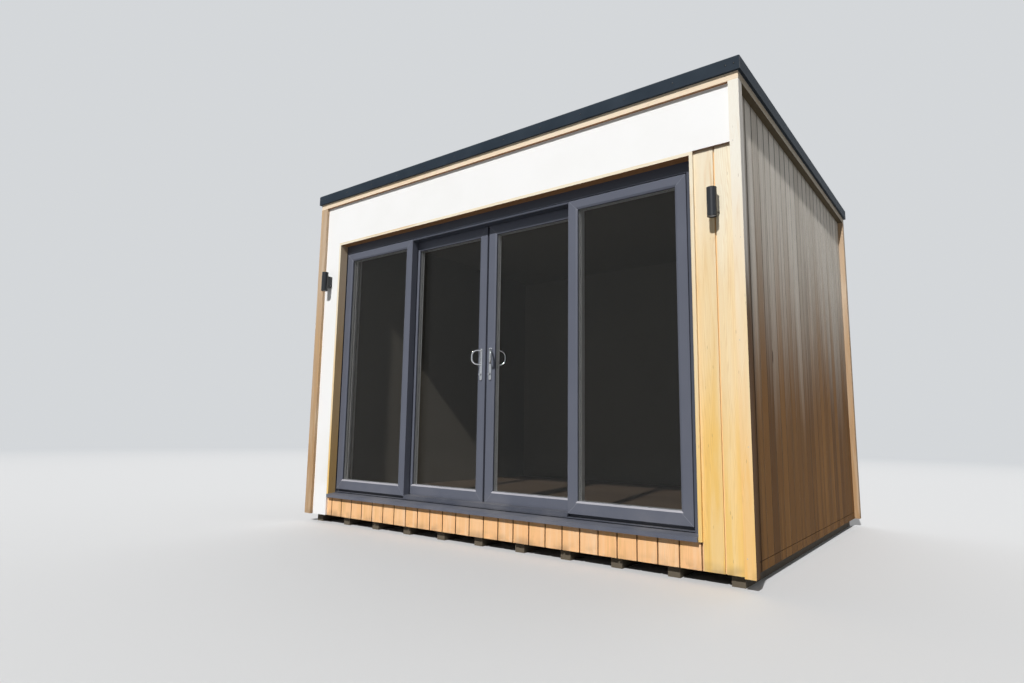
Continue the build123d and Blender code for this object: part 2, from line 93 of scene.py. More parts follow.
camera = bpy.data.objects.new("camera", bpy.data.cameras.new("camera"))
bpy.context.scene.collection.objects.link(camera)
camera.data.sensor_width = film_width
camera.data.lens = film_width * lens_pixels / picture_width
camera.matrix_world = Matrix.Translation(camera_place) @ Matrix(
    (camera_right, camera_up, camera_back)
).transposed().to_4x4()
bpy.context.scene.camera = camera
print("lens", round(camera.data.lens, 2), "mm")

# %% [markdown]
# ## Shader maths as Python
# A finish is a small sum of patterns. Writing the sum as Python keeps it readable: a wire stands for a
# socket, and each operator adds the Math node that does it. Any other node comes from one method, which
# sets the node up first and then fills its sockets with values or wires.


# %% Wires
class Wire:
    """A socket that Python's operators work on; each operator adds one Math node."""

    def __init__(self, finish, socket):
        self.finish = finish
        self.socket = socket

    def sum(self, operation, first, second):
        """The result of a Math node with two inputs."""
        return self.finish.node("ShaderNodeMath", {"operation": operation}, {0: first, 1: second})

    def __add__(self, other):
        return self.sum("ADD", self, other)

    def __sub__(self, other):
        return self.sum("SUBTRACT", self, other)

    def __rsub__(self, other):
        return self.sum("SUBTRACT", other, self)

    def __mul__(self, other):
        return self.sum("MULTIPLY", self, other)

    def __truediv__(self, other):
        return self.sum("DIVIDE", self, other)

    def __gt__(self, other):
        return self.sum("GREATER_THAN", self, other)

    def __lt__(self, other):
        return self.sum("LESS_THAN", self, other)

    def __abs__(self):
        return self.sum("ABSOLUTE", self, 0.0)

    def __floor__(self):
        return self.sum("FLOOR", self, 0.0)

    __radd__ = __add__
    __rmul__ = __mul__

    def either(self, other):
        """One where this mask or the other is one."""
        return 1.0 - (1.0 - self) * (1.0 - other)

    def rise(self, low, high):
        """0 below low, 1 above high, a smooth step between; it falls where low is above high."""
        sockets = {"Value": self, "From Min": min(low, high), "From Max": max(low, high)}
        sockets["To Min"], sockets["To Max"] = (1.0, 0.0) if low > high else (0.0, 1.0)
        return self.finish.node("ShaderNodeMapRange", {"interpolation_type": "SMOOTHSTEP"}, sockets)


# %% Finishes
class Finish:
    """A material, or the world, that is built node by node."""

    def __init__(self, name, group=bpy.data.materials, shader="Principled BSDF"):
        self.material = group.new(name)
        self.material.use_nodes = True
        self.tree = self.material.node_tree
        self.shader = self.tree.nodes[shader]

    def node(self, kind, settings, sockets, result=0):
        """Adds a node, sets it up, fills its sockets and gives a wire from one of its results."""
        added = self.tree.nodes.new(kind)
        for name, value in settings.items():
            setattr(added, name, value)
        self.fill(added, sockets)
        return Wire(self, added.outputs[result])

    def fill(self, node, sockets):
        """Gives each socket, by its name or number, a value or a link."""
        for key, value in sockets.items():
            if isinstance(value, Wire):
                self.tree.links.new(value.socket, node.inputs[key])
            else:
                node.inputs[key].default_value = value

    def place(self, scale=(1, 1, 1), shift=(0, 0, 0)):
        """Object coordinates, stretched so that one unit of the pattern is 1 / scale metres."""
        point = self.node("ShaderNodeTexCoord", {}, {}, "Object")
        return self.node("ShaderNodeMapping", {}, {"Vector": point, "Scale": scale, "Location": shift})

    def axis(self, letter):
        """One object coordinate in metres."""
        return self.node("ShaderNodeSeparateXYZ", {}, {0: self.place()}, letter)

    def facing(self, letter):
        """How far the surface faces along an axis, from -1 to 1."""
        normal = self.node("ShaderNodeNewGeometry", {}, {}, "Normal")
        return self.node("ShaderNodeSeparateXYZ", {}, {0: normal}, letter)

    def bands(self, phase):
        """A soft line once in every turn of the phase: half of one plus its sine."""
        wave = self.node("ShaderNodeMath", {"operation": "SINE"}, {0: phase})
        return wave * 0.5 + 0.5

    def noise(self, vector, scale, detail=3.0, distortion=0.0):
        """Soft clouds between 0 and 1."""
        sockets = {"Vector": vector, "Scale": scale, "Detail": detail, "Distortion": distortion}
        return self.node("ShaderNodeTexNoise", {}, sockets)

    def spots(self, vector, scale, result="Distance"):
        """Distance to the nearest of scattered points, or that point's own random colour."""
        return self.node("ShaderNodeTexVoronoi", {}, {"Vector": vector, "Scale": scale}, result)

    def random(self, number):
        """A random value from 0 to 1 for each whole number."""
        return self.node("ShaderNodeTexWhiteNoise", {"noise_dimensions": "1D"}, {"W": number}, "Value")

    def mix(self, factor, first, second):
        """From the first colour to the second as the factor goes from 0 to 1."""
        return self.node("ShaderNodeMix", {"data_type": "RGBA"}, {0: factor, 6: first, 7: second}, 2)

    def vector(self, x, y, z):
        """A point from three numbers."""
        return self.node("ShaderNodeCombineXYZ", {}, {"X": x, "Y": y, "Z": z})

    def bump(self, height, depth, strength):
        """A normal from a height of 0 to 1 that stands for that depth in metres."""
        sockets = {"Strength": strength, "Distance": depth, "Height": height}
        return self.node("ShaderNodeBump", {}, sockets)

    def seen(self):
        """One for rays that the eye sees, also in gloss and through glass; none for rays that light."""
        camera_ray, glossy, through = (
            self.node("ShaderNodeLightPath", {}, {}, "Is " + kind + " Ray")
            for kind in ("Camera", "Glossy", "Transmission")
        )
        return camera_ray + glossy + through > 0.5

    def done(self, **sockets):
        """Fills the shader's sockets: their names are written with _ for spaces."""
        self.fill(self.shader, {name.replace("_", " "): value for name, value in sockets.items()})
        return self.material


def tone(red, green, blue):
    """A colour from its red, green and blue shares of light."""
    return (red, green, blue, 1.0)


def dress(material, *names):
    """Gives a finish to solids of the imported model."""
    for name in names:
        nodes[name].data.materials.clear()
        nodes[name].data.materials.append(material)
    print(material.name, "on", ", ".join(names))


# %% [markdown]
# ## Sawn softwood
# The boards and trims are pale softwood. Near the top of the wall they are cream, and lower down they
# keep the warmer yellow of fresh timber. Four patterns make the wood: fine fibres stretched along the
# board, growth lines a few millimetres apart that wander, soft clouds, and a knot here and there. Each
# board gets its own random shift, so that no pattern runs across a joint. The same function serves
# boards on any wall, because it is told which coordinate crosses the boards and which runs along them.


# %% Grain
fibre_stretch = 0.03
fibre_scale = 420.0
growth_line_turns = 1150.0
line_wander = 105.0
knot_cell_width = 0.21
knot_cell_length = 0.95
cells_without_knot = 0.62


def grain(finish, across, along, depth, seed):
    """Fibres, growth lines, knots and clouds as wires, from coordinates across and along the board.

    Fibres are noise stretched along the board. Lines are a sine of the distance across, pushed about
    by slow noise. A knot is where the distance to a scattered point is small, in stretched cells.
    """
    slow = finish.vector(across * 9.0 + seed * 9.0, depth * 9.0, along * 0.7 + seed * 31.0)
    wander = finish.noise(slow, 1.0, 3.0, 0.5)
    cells = finish.vector(
        across / knot_cell_width + seed * 17.0, 0.0, along / knot_cell_length + seed * 5.0
    )
    distance = finish.spots(cells, 1.0)
    cell_colour = finish.spots(cells, 1.0, "Color")
    kept = finish.node("ShaderNodeSeparateColor", {}, {0: cell_colour}, 0) > cells_without_knot
    knot = distance.rise(0.055, 0.025) * kept
    halo = distance.rise(0.22, 0.03) * kept
    lines = finish.bands((across + depth) * growth_line_turns + wander * line_wander + halo * 16.0)
    fine = finish.vector(across + seed, depth, along * fibre_stretch)
    fibres = finish.noise(fine, fibre_scale, 4.0, 0.2)
    return fibres, lines, knot, halo, wander


# %% Softwood
cream = (tone(0.91, 0.81, 0.62), tone(0.93, 0.865, 0.69))
straw = (tone(0.88, 0.675, 0.38), tone(0.90, 0.72, 0.44))
honey = (tone(0.88, 0.565, 0.165), tone(0.92, 0.63, 0.215))
tea_brown = tone(0.30, 0.15, 0.06)
# Pale orange inside the front board joints: painted light where the sun reaches into them.
sunlit_joint = tone(0.86, 0.60, 0.30)
cream_above, straw_at, honey_below = 2.25, 1.25, 0.35
side_check = front + 0.024


def softwood(name, across_axis, along_axis, joint=None, tones=(cream, straw, honey), face=None,
             reveal=0.0, under=tone(0.34, 0.145, 0.05), recess=tea_brown, grey_side=False, head=None):
    """Pale boards; joint is the place of one joint between boards, or none on a single board.

    The tone goes through three steps towards the ground. Undersides take a darker tone, which is painted
    shade. What lies behind the face plane takes the recess tone: the insides of the joints, and a reveal
    as far as it says, where the darker tone is painted shade. On the front boards the joints take a pale
    tone instead, which is painted light. Just under the head the boards carry a brown line that is a
    painted shadow. A grey side, facing +X, is weathered grey above and painted shade in dark brown low
    down.
    """
    finish = Finish(name)
    across = finish.axis(across_axis)
    along = finish.axis(along_axis)
    depth = finish.axis(next(letter for letter in "XYZ" if letter not in (across_axis, along_axis)))
    up = finish.axis("Z")
    number = math.floor((across - joint) / board_pitch) if joint is not None else 0.0
    seed = finish.random(number + 3.0)
    other = finish.random(number + 57.0)
    fibres, lines, knot, halo, wander = grain(finish, across, along, depth, seed)
    patches = finish.vector(across * 26.0 + seed * 50.0, depth * 9.0, along * 1.7)
    broad = finish.noise(patches, 1.0, 4.0, 0.6)
    height = up + (wander - 0.5) * 0.9 + (other - 0.5) * 0.3
    upper, middle, lower = (finish.mix(other, *pair) for pair in tones)
    above = finish.mix(height.rise(cream_above, straw_at), upper, middle)
    body = finish.mix(height.rise(straw_at, honey_below), above, lower)
    washed = finish.mix(broad.rise(0.55, 0.30) * 0.20, body, tone(0.93, 0.86, 0.70))
    stained = finish.mix(broad.rise(0.52, 0.76) * 0.42, washed, tone(0.74, 0.45, 0.17))
    banded = finish.mix(lines.rise(0.35, 1.0) * (0.10 + broad * 0.22), stained, tone(0.58, 0.33, 0.12))
    streaked = finish.mix(fibres.rise(0.52, 0.80) * 0.20, banded, tone(0.52, 0.31, 0.13))
    ringed = finish.mix(halo * 0.5, streaked, tone(0.66, 0.38, 0.13))
    knotted = finish.mix(knot * 0.85, ringed, tone(0.20, 0.09, 0.03))
    flecks = finish.spots(finish.vector(across * 55.0 + seed * 9.0, depth * 30.0, along * 6.0), 1.0)
    flecked = finish.mix(flecks.rise(0.085, 0.04) * 0.55, knotted, tone(0.26, 0.15, 0.07))
    drops = finish.noise(finish.place((9, 9, 9)), 1.0, 3.0).rise(0.35, 0.7)
    soiled = finish.mix(up.rise(0.13, 0.06) * drops * 0.55, flecked, tone(0.22, 0.15, 0.09))
    # Undersides take the under tone: painted shade.
    shown = finish.mix(finish.facing("Z").rise(-0.4, -0.8) * 0.9, soiled, under)
    # Behind the face plane: dark joints, and on the linings a reveal painted darker, which is painted
    # shade.
    if face is not None:
        behind = finish.axis("Y").rise(face + 0.0008, face + 0.003)
        shown = finish.mix(behind * (0.9 - reveal), shown, recess)
    # A brown line just under the head: painted shadow of the part above.
    if head is not None:
        shown = finish.mix(up.rise(head - 0.016, head - 0.005) * 0.6, shown, tea_brown)
    # The side facing +X: weathered grey above, and dark brown low down that is painted shade, with a dark
    # check.
    if grey_side:
        side = finish.facing("X") > 0.8
        check = abs(finish.axis("Y") - side_check + (wander - 0.5) * 0.004).rise(0.003, 0.0012)
        grey = finish.mix(fibres.rise(0.4, 0.75) * 0.5, tone(0.86, 0.81, 0.74), tone(0.58, 0.53, 0.47))
        weathered_and_shaded = finish.mix(height.rise(1.95, 1.30), grey, tone(0.125, 0.055, 0.014))
        shown = finish.mix(side, shown, finish.mix(check * 0.6, weathered_and_shaded, tone(0.10, 0.07, 0.05)))
    relief = fibres * 0.35 + lines * 0.25 - knot * 0.4
    return finish.done(
        Base_Color=shown,
        Roughness=0.58 + fibres * 0.2,
        Specular_IOR_Level=0.22,
        Normal=finish.bump(relief, 0.0009, 0.5),
    )


# %% Front boards, linings, posts and trims
board_pitch = 0.1234
first_joint = right_side - 0.1615
cladding_face = edge("front_right_cladding", Y, False)
white_face = edge("white_band", Y, False)
band_foot = edge("white_band", Z, False)
# The front boards: painted light in the joints and a painted shadow line under the white band.
front_boards = softwood(
    "front boards", "X", "Z", first_joint, face=cladding_face, recess=sunlit_joint, head=band_foot
)
dress(front_boards, "front_right_cladding")
apricot = (tone(0.98, 0.545, 0.25), tone(0.985, 0.60, 0.315))
sill_boards = softwood("sill boards", "X", "Z", first_joint, tones=(apricot,) * 3, face=cladding_face)
dress(sill_boards, "sill_cladding")
# The reveals behind the white face are painted darker brown, which is painted shade; reveal says how much
# of the wood's own tone each keeps.
for side, reveal in (("left", 0.40), ("right", 0.70)):
    dress(softwood(side + " lining timber", "X", "Z", face=white_face, reveal=reveal), side + "_lining")
# The soffit's underside takes a dark orange-brown: painted shade under the head.
soffit_shade_brown = tone(0.40, 0.155, 0.045)
soffit = softwood("head lining timber", "Z", "X", face=white_face, reveal=0.35, under=soffit_shade_brown)
dress(soffit, "head_lining")
post_tones = (
    (tone(0.92, 0.895, 0.80), tone(0.93, 0.91, 0.82)),
    (tone(0.92, 0.71, 0.43), tone(0.93, 0.73, 0.46)),
    (tone(0.91, 0.51, 0.125), tone(0.93, 0.54, 0.14)),
)
pale_post = softwood("corner post timber", "X", "Z", tones=post_tones, grey_side=True)
dress(pale_post, "corner_post_front_right")
brown_tones = (
    (tone(0.50, 0.37, 0.25), tone(0.54, 0.40, 0.28)),
    (tone(0.44, 0.29, 0.17), tone(0.48, 0.32, 0.19)),
    (tone(0.40, 0.24, 0.12), tone(0.44, 0.27, 0.14)),
)
brown_post = softwood("brown post timber", "X", "Z", tones=brown_tones)
dress(brown_post, *("corner_post_" + place for place in ("front_left", "rear_left", "rear_right")))
peach = (tone(0.90, 0.72, 0.52), tone(0.92, 0.77, 0.58))
dress(softwood("top trim timber", "Z", "X", tones=(peach,) * 3), "top_trim_front", "top_trim_rear")
tan = (tone(0.46, 0.41, 0.32), tone(0.52, 0.46, 0.37))
tan_shade = tone(0.075, 0.052, 0.020)
side_trim = softwood("side trim timber", "Z", "Y", tones=(tan,) * 3, under=tan_shade)
dress(side_trim, "top_trim_left", "top_trim_right")

# %% [markdown]
# ## Weathered boards
# The side walls see little sun. Rain has greyed the upper boards. The lower ones are a dark, streaked
# orange-brown, partly from splashes off the ground and partly as painted shade low down. The grain is
# the same as on the front, but the colour goes from grey to brown by height, with dark runs and pale
# lifted fibres along the boards. The right side is painted a paler grey than the left and the rear:
# painted light where the sun grazes it.


# %% Weathered boards
# The paler grey is painted light for the right side, where the sun grazes it; the left and rear take the
# shaded grey.
sunlit_grey = (tone(0.73, 0.665, 0.575), tone(0.97, 0.90, 0.80))
shaded_grey = (tone(0.49, 0.445, 0.385), tone(0.68, 0.63, 0.56))
splashed_brown = (tone(0.17, 0.074, 0.017), tone(0.31, 0.145, 0.037))
run_brown = tone(0.13, 0.09, 0.055)
lifted_grey = tone(0.80, 0.74, 0.65)


def weathered(name, across_axis, joint, face, greys=shaded_grey):
    """Grey upright boards that turn brown towards the ground; face is the plane of their faces."""
    finish = Finish(name)
    across = finish.axis(across_axis)
    along = finish.axis("Z")
    depth = finish.axis("X" if across_axis == "Y" else "Y")
    boards = (across - joint) / board_pitch
    number = math.floor(boards)
    from_middle = abs(boards - number - 0.5) * board_pitch
    seed = finish.random(number + 11.0)
    fibres, lines, knot = grain(finish, across, along, depth, seed)[:3]
    runs = finish.noise(finish.vector(across * 34.0 + seed * 40.0, depth, along * 0.8), 1.0, 4.0)
    upper = finish.mix(finish.random(number + 91.0), *greys)
    lower = finish.mix(finish.random(number + 23.0), *splashed_brown)
    drift = along + (runs - 0.5) * 0.9 + (finish.random(number + 5.0) - 0.5) * 0.4
    # From brown low down to grey above: weathering, and painted shade near the ground.
    weathered_and_shaded = drift.rise(0.80, 2.30)
    body = finish.mix(weathered_and_shaded, lower, upper)
    glow = drift.rise(1.3, 0.3) * runs.rise(0.52, 0.70)
    orange = finish.mix(glow * 0.50, body, tone(0.44, 0.21, 0.055))
    banded = finish.mix(lines.rise(0.45, 1.0) * 0.22, orange, tone(0.14, 0.10, 0.07))
    streaked = finish.mix(runs.rise(0.44, 0.28) * (0.45 - weathered_and_shaded * 0.25), banded, run_brown)
    lifted = finish.mix(fibres.rise(0.55, 0.85) * (0.03 + weathered_and_shaded * 0.35), streaked, lifted_grey)
    knotted = finish.mix(knot * 0.9, lifted, tone(0.07, 0.04, 0.025))
    stained = finish.mix(from_middle.rise(0.046, 0.058) * 0.5, knotted, tone(0.10, 0.065, 0.04))
    inside = abs(depth).rise(face - 0.0008, face - 0.003)
    jointed = finish.mix(inside * 0.9, stained, tone(0.03, 0.018, 0.010))
    # Darker just under the trim: painted shade of the roof edge.
    shade_under_trim = along.rise(board_head - 0.035, board_head)
    return finish.done(
        Base_Color=finish.mix(shade_under_trim * 0.5, jointed, tone(0.16, 0.13, 0.09)),
        Roughness=0.72 + fibres * 0.2,
        Specular_IOR_Level=0.2,
        Normal=finish.bump(fibres * 0.45 + lines * 0.3 - knot * 0.5, 0.0014, 0.7),
    )


side_joint = edge("right_cladding", Y, True) - board_pitch
side_face = edge("right_cladding", X, True)
dress(weathered("weathered right boards", "Y", side_joint, side_face, sunlit_grey), "right_cladding")
dress(weathered("weathered left boards", "Y", side_joint, side_face), "left_cladding")
rear_joint = edge("rear_cladding", X, True) - board_pitch
rear_face = edge("rear_cladding", Y, True)
dress(weathered("weathered rear boards", "X", rear_joint, rear_face), "rear_cladding")

# %% [markdown]
# ## White rendered board
# The band over the door and the strip beside it are a cement board with a fine white coating. It is
# nearly flat, so its life is in faint roller stipple, a little dust that settles low down and a few
# small marks. Its underside is painted dark brown, which is painted shade and shows as a dark line
# from below.


# %% White coating
def white_coating():
    """White with roller stipple, a few marks, dust low down and an underside in painted shade."""
    finish = Finish("white coating")
    stipple = finish.noise(finish.place(), 380.0, 3.0)
    patches = finish.noise(finish.place(), 2.3, 4.0)
    marks = finish.spots(finish.place(shift=(0.3, 0, 0.7)), 5.0).rise(0.028, 0.012)
    dust = finish.axis("Z").rise(0.75, 0.05) * patches.rise(0.3, 0.8)
    clean = finish.mix(patches.rise(0.35, 0.7), tone(0.925, 0.918, 0.905), tone(0.90, 0.892, 0.872))
    marked = finish.mix(marks * 0.5, clean, tone(0.45, 0.40, 0.34))
    dusty = finish.mix(dust * 0.45, marked, tone(0.58, 0.52, 0.44))
    # The underside is painted dark brown: painted shade.
    painted_underside_shade = finish.facing("Z").rise(-0.4, -0.8)
    return finish.done(
        Base_Color=finish.mix(painted_underside_shade * 0.95, dusty, tone(0.13, 0.055, 0.025)),
        Roughness=0.55 + stipple * 0.25,
        Normal=finish.bump(stipple, 0.0006, 0.5),
    )


dress(white_coating(), "white_strip", "white_band")

# %% [markdown]
# ## Two-colour door profiles
# The plastic profiles are white inside and carry a dark blue-grey foil outside. On the edge of a leaf
# that slides behind a sash the foil turns round the front only, and the rest is white. Where the two
# leaves meet, and on the fixed sashes, it goes right back. Behind the glass all are white, which shows
# as a thin pale line. The foil has a light emboss, and each corner is welded on a slant, which leaves a
# thin line at 45 degrees. Dust lies on every ledge, and the sloped lower beads are painted paler as a
# painted highlight. All of it is drawn from the box of the sash. The outer frame, which stands in the
# reveal, takes a darker copy of the foil than the sashes: painted shade.


# %% Door profiles
foil_wrap = 0.008
profile_cover = 0.016
stile_width = 0.069
rim = 0.0012
blur = 0.0006
sash_foil = (tone(0.103, 0.112, 0.144), tone(0.127, 0.136, 0.172))
# The darker frame foil is painted shade for the parts that stand in the reveal.
shaded_frame_foil = (tone(0.062, 0.068, 0.090), tone(0.080, 0.088, 0.114))


def door_profile(name, split, sash=None, slides=0, foil_tones=sash_foil):
    """Foil in front of the split plane and white behind it; sash names the frame with its glass.

    slides is -1 for a leaf that slides to the left, 1 for one that slides to the right: the edge that
    passes behind the sash is white behind the foil's wrap.
    """
    finish = Finish(name)
    cloud = finish.noise(finish.place(), 3.5, 4.0)
    y, up, tilt = finish.axis("Y"), finish.axis("Z"), finish.facing("Z")
    foil = finish.mix(cloud, *foil_tones)
    settled = tilt.rise(0.55, 0.85) * cloud.rise(0.2, 0.7)
    dust = up.rise(0.42, 0.22) * cloud.rise(0.35, 0.75) * 0.35 + settled * 0.3
    colour = finish.mix(dust, foil, tone(0.24, 0.23, 0.235))
    white = y.rise(split - blur, split + blur)
    relief = finish.noise(finish.place((1, 1, 0.25)), 900.0, 3.0) * 0.3
    if sash:
        low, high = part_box(sash)
        pane_low, pane_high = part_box(sash + "_glass")
        aside = finish.axis("X") - middle(sash, X)
        above = up - middle(sash, Z)
        from_side = (high[X] - low[X]) / 2 - abs(aside)
        from_end = (high[Z] - low[Z]) / 2 - abs(above)
        outer_edge = (from_side < rim).either(from_end < rim)
        white = white * (1.0 - outer_edge)
        if slides:
            wrap = pane_low[Y] - profile_cover + foil_wrap
            behind_sash = aside * slides > 0.0
            white = white.either(outer_edge * behind_sash * y.rise(wrap - blur, wrap + blur))
        else:
            clip = y > pane_high[Y] + profile_cover + 0.0005
            white = white * (1.0 - clip)
        weld = abs(from_side - from_end).rise(0.0010, 0.0004) * (from_side < stile_width + 0.015)
        colour = finish.mix(weld * 0.75, colour, tone(0.38, 0.39, 0.43))
        # The sloped lower beads are painted paler: a painted highlight, broken up by the clouds.
        bead = (above < 0.0) * (tilt > 0.2) * (tilt < 0.9)
        colour = finish.mix(bead * (0.5 + cloud * 0.4), colour, tone(0.50, 0.49, 0.52))
        relief = relief - weld
    return finish.done(
        Base_Color=finish.mix(white, colour, tone(0.88, 0.88, 0.87)),
        Roughness=0.36 + cloud * 0.14,
        Specular_IOR_Level=0.25,
        Normal=finish.bump(relief, 0.0004, 0.5),
    )


for sash, way in (("left_sash", 0), ("right_sash", 0), ("left_leaf", -1), ("right_leaf", 1)):
    pane_back = edge(sash + "_glass", Y, True) - 0.001
    dress(door_profile(sash + " profile", pane_back, sash, way), sash)
frame_split = edge("door_frame", Y, True) - 0.03
# The outer frame, threshold and infills take the darker foil: painted shade of the reveal.
outer_frame = door_profile("outer frame profile", frame_split, foil_tones=shaded_frame_foil)
dress(outer_frame, "door_frame", "door_threshold", "head_infill", "threshold_infill")
dress(door_profile("sill profile", frame_split), "door_sill")

# %% [markdown]
# ## Sealed glass units
# By day a room behind clear double glazing looks dark from outside, and the panes only mirror a little.
# Each face of the unit is a thin dark film that lets most of the light through: its alpha is the share
# that it keeps. The sun then really falls into the room, and the inner handles stay visible.


# %% Glass
def pane_glass():
    """A dark film that keeps an eighth of the light, polished but for faint smears."""
    finish = Finish("sealed glass")
    film = finish.noise(finish.place((1, 1, 0.4)), 6.0, 4.0)
    return finish.done(
        Base_Color=tone(0.012, 0.014, 0.013),
        Roughness=film.rise(0.45, 0.9) * 0.04,
        IOR=1.9,
        Alpha=0.12,
    )


dress(pane_glass(), *(name for name in nodes if name.endswith("_glass")))

# %% [markdown]
# ## Roof edge, roof and metalwork
# The roof edge is a dark folded trim with a satin face, paler at its upright corners, partly from rubbing
# and partly as a painted highlight on the edge. The roof itself is one sheet of black rubber with a little
# dust in shallow pools. The wall lights have a fine textured black coat, the handles are polished chrome,
# and the rollers are bright steel.


# %% Dark trims and metals
def speckled(name, dark, light, roughness, grain_size, depth, metallic=0.0, gloss=0.5):
    """A plain coat: two close tones in slow clouds, with a fine texture of its own size."""
    finish = Finish(name)
    cloud = finish.noise(finish.place(), 4.0, 5.0)
    texture = finish.noise(finish.place(), 1.0 / grain_size, 2.0)
    return finish.done(
        Base_Color=finish.mix(cloud.rise(0.3, 0.75), dark, light),
        Metallic=metallic,
        Specular_IOR_Level=gloss,
        Roughness=roughness + cloud * 0.12,
        Normal=finish.bump(texture, depth, 0.5),
    )


pin_radius = 0.0052
pin_height = roof_edge_foot + 0.039
corner_pins = (0.032, 0.077)
first_pin = 0.383
pin_pitch = 0.31
roof_low, roof_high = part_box("fascia_front")[0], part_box("fascia_rear")[1]


def pin_dome(finish, from_corner, facing_it):
    """1 in the middle of a pin and 0 at its rim: two near each corner, then one every pitch.

    The distance from the nearest corner gives the distance from the nearest pin, and with the height
    above the pins that makes a circle.
    """
    turns = (from_corner - first_pin) / pin_pitch
    along = abs(turns - math.floor(turns + 0.5)) * pin_pitch + (from_corner < first_pin - 0.1) * 1.0
    up = finish.axis("Z") - pin_height
    dome = 0.0
    for distance in (along, from_corner - corner_pins[0], from_corner - corner_pins[1]):
        radius_squared = distance * distance + up * up
        dome = dome + radius_squared.rise(pin_radius**2, 0.0)
    return dome * facing_it


def roof_edge_coat():
    """Dark coat with slow clouds; the four upright corners are paler from rubbing and a painted highlight.
    """
    finish = Finish("roof edge coat")
    cloud = finish.noise(finish.place(), 4.0, 5.0)
    texture = finish.noise(finish.place(), 250.0, 2.0)
    from_corner = [
        (high - low) / 2 - abs(finish.axis(letter) - (high + low) / 2)
        for letter, low, high in zip("XY", roof_low, roof_high)
    ]
    pins = pin_dome(finish, from_corner[1], abs(finish.facing("X")) > 0.8)
    pins = pins + pin_dome(finish, from_corner[0], finish.facing("Y") > 0.8)
    # Pale along the upright corners: rubbing, and a painted highlight on the corner edge.
    worn = from_corner[0].rise(0.0030, 0.0010) * from_corner[1].rise(0.0030, 0.0010)
    colour = finish.mix(cloud.rise(0.3, 0.75), tone(0.018, 0.028, 0.040), tone(0.029, 0.041, 0.056))
    rubbed_and_highlight = finish.mix(worn * texture.rise(0.25, 0.55) * 0.6, colour, tone(0.14, 0.135, 0.135))
    return finish.done(
        Base_Color=finish.mix(pins.rise(0.0, 0.15), rubbed_and_highlight, tone(0.006, 0.007, 0.008)),
        Roughness=0.50 + cloud * 0.12,
        Specular_IOR_Level=0.12,
        Normal=finish.bump(texture * 0.15 + pins, 0.002, 0.6),
    )


dress(roof_edge_coat(), "fascia_front", "fascia_rear", "fascia_left", "fascia_right")
lamp_tones = (tone(0.008, 0.010, 0.014), tone(0.013, 0.016, 0.021))
lamp_coat = speckled("wall light coat", *lamp_tones, 0.24, 0.0012, 0.0002, gloss=0.55)
dress(lamp_coat, "left_wall_light", "right_wall_light")
chrome = speckled("chrome", tone(0.62, 0.63, 0.65), tone(0.46, 0.47, 0.49), 0.06, 0.02, 0.00008, 1.0)
dress(chrome, "left_leaf_handles", "right_leaf_handles")
steel = speckled("roller steel", tone(0.55, 0.55, 0.54), tone(0.42, 0.41, 0.40), 0.3, 0.003, 0.0001, 1.0)
dress(steel, "left_leaf_rollers", "right_leaf_rollers")
rubber_tones = (tone(0.012, 0.012, 0.012), tone(0.022, 0.022, 0.022))
rubber = speckled("door rubber", *rubber_tones, 0.55, 0.002, 0.0002)
dress(rubber, "meeting_strip")


# %% Roof sheet
def roof_sheet():
    """Black rubber, a little paler in dusty pools, with long shallow creases and grit."""
    finish = Finish("roof rubber")
    pools = finish.noise(finish.place(), 1.1, 4.0)
    creases = finish.noise(finish.place((1, 0.12, 1)), 5.0, 2.0)
    grit = finish.noise(finish.place(), 260.0, 3.0)
    colour = finish.mix(pools.rise(0.40, 0.70), tone(0.040, 0.041, 0.043), tone(0.055, 0.054, 0.052))
    gritty = finish.mix(grit.rise(0.6, 0.75) * 0.35, colour, tone(0.12, 0.115, 0.105))
    return finish.done(
        Base_Color=gritty,
        Roughness=0.6 + pools * 0.3,
        Specular_IOR_Level=0.3,
        Normal=finish.bump(creases + grit * 0.2, 0.003, 0.4),
    )


dress(roof_sheet(), "roof_membrane")

# %% [markdown]
# ## Inside and under the floor
# Through the glass the room shows walls in a dark warm grey, which is painted shade for the dim room,
# and a dark board floor. Underneath, bearers of treated timber, gone grey-brown, carry the floor.


# %% Painted walls
def dim_room_lining():
    """Dark warm grey paint as painted shade for the dim room, with slow clouds and a roller's stipple."""
    finish = Finish("dim room lining")
    roller = finish.noise(finish.place(), 240.0, 3.0)
    cloud = finish.noise(finish.place(), 1.1, 3.0)
    # Dark warm grey: painted shade for the dim room.
    colour = finish.mix(cloud, tone(0.135, 0.12, 0.092), tone(0.175, 0.155, 0.12))
    normal = finish.bump(roller, 0.0005, 0.4)
    return finish.done(Base_Color=colour, Roughness=0.75 + roller * 0.1, Normal=normal)


walls = [name for name in nodes if name.endswith(("_wall", "_pier", "_header"))]
dress(dim_room_lining(), *walls, "roof_structure")

# %% Floor boards
plank_width, plank_length = 0.19, 1.2


def floor_boards():
    """Wide planks along X with staggered ends."""
    finish = Finish("room floor boards")
    x, y, z = (finish.axis(letter) for letter in "XYZ")
    row = math.floor(y / plank_width)
    plank = math.floor(x / plank_length + finish.random(row) * 7.0)
    seed = finish.random(row * 13.0 + plank)
    fibres, lines = grain(finish, y, x, z, seed)[:2]
    plain = finish.mix(seed, tone(0.075, 0.052, 0.035), tone(0.12, 0.085, 0.056))
    lined = finish.mix(lines * 0.4, plain, tone(0.06, 0.038, 0.022))
    worn = finish.mix(fibres.rise(0.5, 0.8) * 0.3, lined, tone(0.20, 0.15, 0.10))
    normal = finish.bump(fibres, 0.0004, 0.5)
    return finish.done(Base_Color=worn, Roughness=0.38 + fibres * 0.2, Normal=normal)


dress(floor_boards(), "floor_finish")


